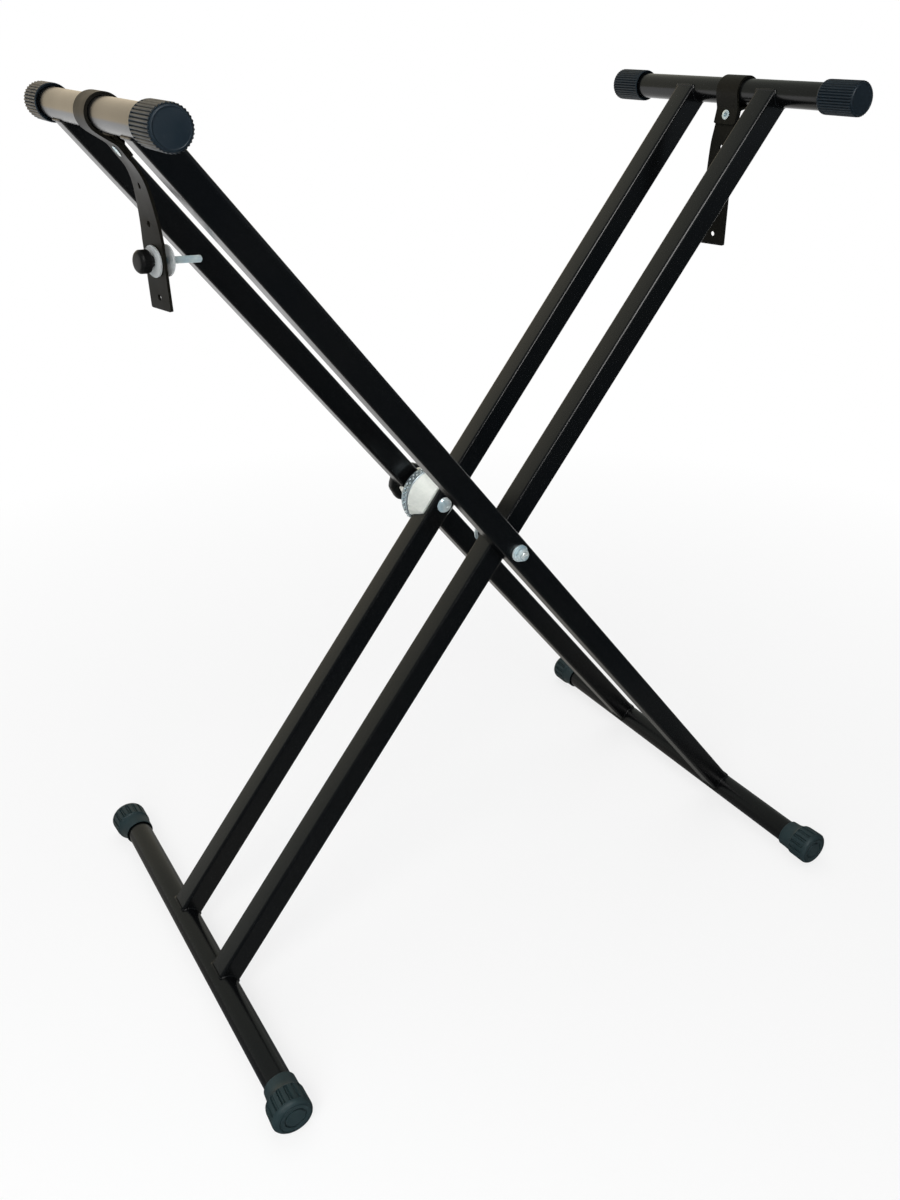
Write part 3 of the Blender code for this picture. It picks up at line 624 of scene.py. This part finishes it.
BEAD_RADIUS = 0.0011
BEAD_ROUNDNESS = 3
BEAD_RIPPLE = 0.0017           # along the bead, from one ripple to the next
RIPPLE_HEIGHT = 0.16           # share of the bead's radius
BEAD_WOBBLES = ((0.08, 0.0071, 0), (0.05, 0.0043, 1.3))    # share of the radius, length and start
BEAD_STEPS = 220
BEAD_OFFSET = 0.0002           # from the tube and from the bar
BEAD_REACH = 0.96              # how far round the bar a bead goes, as a share of its radius
LEG_CORNER = 0.0034


def square_walk(half, corner, share):
    """Point and arc position on a rounded square, at a share of its way round."""
    straight = 2 * (half - corner)
    bend = corner * pi / 2
    side = straight + bend
    around = share * 4 * side
    quarter = int(around // side) % 4
    rest = around - quarter * side
    if rest < straight:
        point = Vector((half, rest - straight / 2))
    else:
        angle = (rest - straight) / corner
        point = Vector((half - corner + corner * cos(angle), straight / 2 + corner * sin(angle)))
    point.rotate(Matrix.Rotation(quarter * pi / 2, 2))
    return point, around


def weld(name, leg, bar, trim, body):
    """A rippled bead round the end of a leg, lying on the bar and no nearer its axis than trim."""
    leg_low, leg_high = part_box(leg)
    bar_low, bar_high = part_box(bar)
    centre = (bar_low + bar_high) / 2
    radius = (bar_high.z - bar_low.z) / 2 + BEAD_OFFSET
    centre.y = (leg_low.y + leg_high.y) / 2
    half = (leg_high.y - leg_low.y) / 2 + BEAD_OFFSET
    back = Vector((PIVOT.x - centre.x, 0, PIVOT.z - centre.z)).normalized()
    across = Vector((back.z, 0, -back.x))
    curve = bpy.data.curves.new(name, "CURVE")
    curve.dimensions = "3D"
    curve.bevel_depth = BEAD_RADIUS
    curve.bevel_resolution = BEAD_ROUNDNESS
    spline = curve.splines.new("POLY")
    spline.points.add(BEAD_STEPS - 1)
    spline.use_cyclic_u = True
    for step in range(BEAD_STEPS):
        place, around = square_walk(half, LEG_CORNER, step / BEAD_STEPS)
        sideways = max(-BEAD_REACH * radius, min(BEAD_REACH * radius, place.x))
        down = max(trim - BEAD_RADIUS, sqrt(radius * radius - sideways * sideways))
        spot = centre + across * sideways + Vector((0, place.y, 0)) + back * down
        spline.points[step].co = (*spot, 1)
        wobble = sum(height * sin(around / length + start) for height, length, start in BEAD_WOBBLES)
        spline.points[step].radius = 1 + RIPPLE_HEIGHT * abs(sin(pi * around / BEAD_RIPPLE)) + wobble
    bead = bpy.data.objects.new(name, curve)
    bpy.context.scene.collection.objects.link(bead)
    only(bead)
    bpy.ops.object.convert(target="MESH")
    bead = bpy.context.object
    bpy.ops.object.shade_smooth()
    return dress(bead, body, "black_paint")


TOP_TRIM = 0.006
BASE_TRIM = 0.010
for prefix in ("inner", "outer"):
    for end in ("front", "rear"):
        leg_name = prefix + "_leg_" + end
        weld(prefix + "_top_weld_" + end, leg_name, prefix + "_top_bar", TOP_TRIM, prefix + "_frame")
        weld(prefix + "_base_weld_" + end, leg_name, prefix + "_base_bar", BASE_TRIM, prefix + "_frame")


# Studio: the camera sees white, and reflections see a warm bright side behind the stand and a dark side
# in front of it, so that black paint stays black

WARM = (1.32, 1.12, 0.82)


def light_path_mix(tree, camera_colour, glossy_socket, other_colour):
    """Colour by ray: one for the camera, one for reflections, one for everything else."""
    path = tree.nodes.new("ShaderNodeLightPath")
    reflected = tree.nodes.new("ShaderNodeMath")
    reflected.operation = "MAXIMUM"
    tree.links.new(path.outputs["Is Glossy Ray"], reflected.inputs[0])
    tree.links.new(path.outputs["Is Transmission Ray"], reflected.inputs[1])
    first = tree.nodes.new("ShaderNodeMix")
    first.data_type = "RGBA"
    first.inputs["A"].default_value = (*other_colour, 1)
    tree.links.new(reflected.outputs["Value"], first.inputs["Factor"])
    tree.links.new(glossy_socket, first.inputs["B"])
    second = tree.nodes.new("ShaderNodeMix")
    second.data_type = "RGBA"
    second.inputs["B"].default_value = (*camera_colour, 1)
    tree.links.new(path.outputs["Is Camera Ray"], second.inputs["Factor"])
    tree.links.new(first.outputs["Result"], second.inputs["A"])
    return second.outputs["Result"]


def ramp(tree, value_socket, stops):
    """A colour ramp; its stops run from 0 to 1."""
    node = tree.nodes.new("ShaderNodeValToRGB")
    elements = node.color_ramp.elements
    elements[0].color = (*stops[0][1], 1)
    elements[1].color = (*stops[-1][1], 1)
    for position, colour in stops[1:-1]:
        elements.new(position).color = (*colour, 1)
    tree.links.new(value_socket, node.inputs["Fac"])
    return node.outputs["Color"]


def facing(tree, vector_socket, way):
    """How far a direction or place lies along a way."""
    dot = tree.nodes.new("ShaderNodeVectorMath")
    dot.operation = "DOT_PRODUCT"
    dot.inputs[1].default_value = way
    tree.links.new(vector_socket, dot.inputs[0])
    return dot.outputs["Value"]


def to_share(tree, value_socket, low, high):
    """A value as its share of the way from low to high."""
    spread = tree.nodes.new("ShaderNodeMapRange")
    spread.inputs["From Min"].default_value = low
    spread.inputs["From Max"].default_value = high
    tree.links.new(value_socket, spread.inputs["Value"])
    return spread.outputs["Result"]


BRIGHT_WAY = Vector((0.02, 1, -0.02)).normalized()
SKY_STOPS = ((0.0, (0.040, 0.055, 0.068)), (0.50, (0.12, 0.13, 0.135)), (0.80, (0.25, 0.27, 0.25)),
             (0.845, (0.28, 0.30, 0.27)), (0.862, (0.43, 0.44, 0.38)), (0.90, (0.62, 0.60, 0.49)),
             (0.97, (1.20, 1.02, 0.76)), (1.0, WARM))
AMBIENT = (0.294, 0.297, 0.30)

world = bpy.data.worlds.new("studio")
bpy.context.scene.world = world
world.use_nodes = True
sky = world.node_tree
direction = sky.nodes.new("ShaderNodeTexCoord")
sky_share = to_share(sky, facing(sky, direction.outputs["Generated"], BRIGHT_WAY), -1.0, 1.0)
room = light_path_mix(sky, WHITE, ramp(sky, sky_share, SKY_STOPS), AMBIENT)
sky.links.new(room, sky.nodes["Background"].inputs["Color"])


FLOOR_SIZE = 14
FLOOR_WAY = (0.1, 0.99, 0)
FLOOR_NEAR, FLOOR_FAR = -0.45, 1.35    # where the reflected floor is darkest and lightest
FLOOR_STOPS = ((0.0, (0.032, 0.044, 0.053)), (0.11, (0.09, 0.10, 0.105)), (0.25, (0.17, 0.17, 0.16)),
               (0.47, (0.36, 0.35, 0.32)), (1.0, WHITE))
FLOOR_PALE = (0.86, 0.86, 0.86)
GLOW_FROM, GLOW_FULL = 0.5, 1.5        # distances from the stand's middle
GLOW_LEAST = 0.78                      # under the stand, so that its shadow still shows


def pale_floor():
    """White to the camera, keeping the shadow; reflections see it dark in front and white behind."""
    mat = bpy.data.materials.new("pale_floor")
    mat.use_nodes = True
    tree = mat.node_tree
    tree.nodes.remove(tree.nodes["Principled BSDF"])
    coords = tree.nodes.new("ShaderNodeTexCoord")
    depth = to_share(tree, facing(tree, coords.outputs["Object"], FLOOR_WAY), FLOOR_NEAR, FLOOR_FAR)
    colour = light_path_mix(tree, WHITE, ramp(tree, depth, FLOOR_STOPS), (0, 0, 0))
    glow = tree.nodes.new("ShaderNodeEmission")
    tree.links.new(colour, glow.inputs["Color"])
    lit = tree.nodes.new("ShaderNodeBsdfDiffuse")
    lit.inputs["Color"].default_value = (*FLOOR_PALE, 1)
    path = tree.nodes.new("ShaderNodeLightPath")
    away = tree.nodes.new("ShaderNodeVectorMath")
    away.operation = "LENGTH"
    tree.links.new(coords.outputs["Object"], away.inputs[0])
    fade = tree.nodes.new("ShaderNodeMapRange")
    fade.inputs["From Min"].default_value = GLOW_FROM
    fade.inputs["From Max"].default_value = GLOW_FULL
    fade.inputs["To Min"].default_value = GLOW_LEAST
    tree.links.new(away.outputs["Value"], fade.inputs["Value"])
    pick = tree.nodes.new("ShaderNodeMath")
    pick.operation = "MULTIPLY_ADD"
    tree.links.new(path.outputs["Is Camera Ray"], pick.inputs[0])
    tree.links.new(fade.outputs["Result"], pick.inputs[1])
    tree.links.new(path.outputs["Is Glossy Ray"], pick.inputs[2])
    blend = tree.nodes.new("ShaderNodeMixShader")
    tree.links.new(pick.outputs["Value"], blend.inputs["Fac"])
    tree.links.new(lit.outputs["BSDF"], blend.inputs[1])
    tree.links.new(glow.outputs["Emission"], blend.inputs[2])
    tree.links.new(blend.outputs["Shader"], tree.nodes["Material Output"].inputs["Surface"])
    return mat


bpy.ops.mesh.primitive_plane_add(size=FLOOR_SIZE)
floor = bpy.context.object
floor.name = "floor"
floor.data.materials.append(pale_floor())


def area_lamp(name, place, target, size, power, colour=WHITE, lights=True, reflects=True):
    """A rectangular lamp aimed at a target, which lights surfaces, shows in them, or does both."""
    data = bpy.data.lights.new(name, "AREA")
    data.shape = "RECTANGLE"
    data.size, data.size_y = size
    data.energy = power
    data.color = colour
    lamp = bpy.data.objects.new(name, data)
    bpy.context.scene.collection.objects.link(lamp)
    lamp.location = place
    way = Vector(target) - Vector(place)
    lamp.rotation_euler = way.to_track_quat("-Z", "Y").to_euler()
    lamp.visible_diffuse = lights
    lamp.visible_glossy = reflects


KEY_LAMP = {"place": (-1.45, -1.15, 1.95), "target": (0, 0, 0.5), "size": (0.9, 0.9),
            "colour": (1, 0.98, 0.95)}
area_lamp("key", power=22, reflects=False, **KEY_LAMP)
area_lamp("sheen", power=1.5, lights=False, **KEY_LAMP)
area_lamp("glint", (-0.50, -1.20, 1.85), (0.2, -0.1, 0.72), (1.0, 0.8), 19, (1, 0.99, 0.97), lights=False)
area_lamp("side", (-1.0, -1.1, 0.6), (-0.2, -0.1, 0.4), (0.7, 0.7), 10, (0.95, 0.98, 1), reflects=False)
area_lamp("fill", (1.7, -2.4, 1.3), (0, 0, 0.4), (2.0, 1.6), 1.5, (0.86, 0.94, 1))
area_lamp("overhead", (0.3, 0.9, 2.8), (0, 0, 0.4), (2.4, 2.4), 26, reflects=False)


# Camera, from the straight edges of the legs and bars

PHOTO_WIDTH, PHOTO_HEIGHT = 900, 1200
FOCAL_PIXELS = 1084.92
CENTRE_PIXEL = (473.26, 593.25)
YAW, PITCH, ROLL = 0.5675, -0.4804, 0.0033
EYE = Vector((-0.56537, -0.90594, 0.91488))
SENSOR = 36
camera_turn = (Matrix.Rotation(-YAW, 4, "Z") @ Matrix.Rotation(radians(90) + PITCH, 4, "X")
               @ Matrix.Rotation(ROLL, 4, "Z"))
lens = bpy.data.cameras.new("camera")
lens.sensor_fit = "VERTICAL"
lens.sensor_height = SENSOR
lens.lens = SENSOR * FOCAL_PIXELS / PHOTO_HEIGHT
lens.shift_x = (PHOTO_WIDTH / 2 - CENTRE_PIXEL[0]) / PHOTO_HEIGHT
lens.shift_y = (CENTRE_PIXEL[1] - PHOTO_HEIGHT / 2) / PHOTO_HEIGHT
camera = bpy.data.objects.new("camera", lens)
bpy.context.scene.collection.objects.link(camera)
camera.matrix_world = Matrix.Translation(EYE) @ camera_turn
bpy.context.scene.camera = camera
bpy.context.scene.view_settings.view_transform = "Standard"
